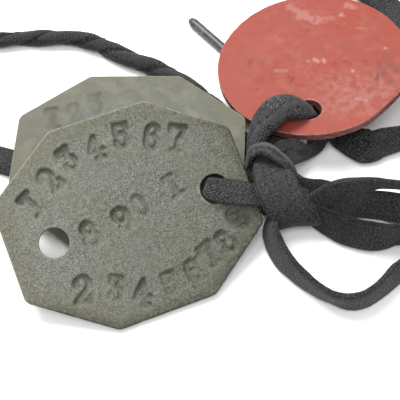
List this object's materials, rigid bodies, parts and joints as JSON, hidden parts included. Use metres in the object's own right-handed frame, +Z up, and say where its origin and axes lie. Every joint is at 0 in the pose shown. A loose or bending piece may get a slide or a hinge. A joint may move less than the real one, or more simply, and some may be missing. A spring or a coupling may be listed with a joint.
{
  "type": "identification dog tag",
  "caption": "Set of octagonal and round identification tags with stamped faces, each threaded by its hole and knotted on one long flat braided lace with crimped ends.",
  "frame": {"origin": "on the surface that the set lies on, under the middle of the box round the three tags", "axes": "+Z up from the surface; +X towards the knot's bows, the picture's right; +Y away from the viewer of the picture"},
  "size_m": [0.1336, 0.1191, 0.0141],
  "materials": {
    "green_fibre": "worn pressed fibre, grey-green, fine light and dark speckle",
    "red_fibre": "worn pressed fibre, brick red with pale scuffs",
    "lace": "flat black braid",
    "aglet": "worn dark crimped end"
  },
  "bodies": {
    "root": {"tag_front": "green_fibre", "tag_back": "green_fibre", "disc_red": "red_fibre", "lace_neck": "lace", "lace_bow_large": "lace", "lace_bow_small": "lace", "lace_end_long": "lace", "lace_end_short": "lace", "lace_tag_loop": "lace", "lace_knot": "lace", "aglet_1": "aglet", "aglet_2": "aglet"}
  },
  "joints": []
}
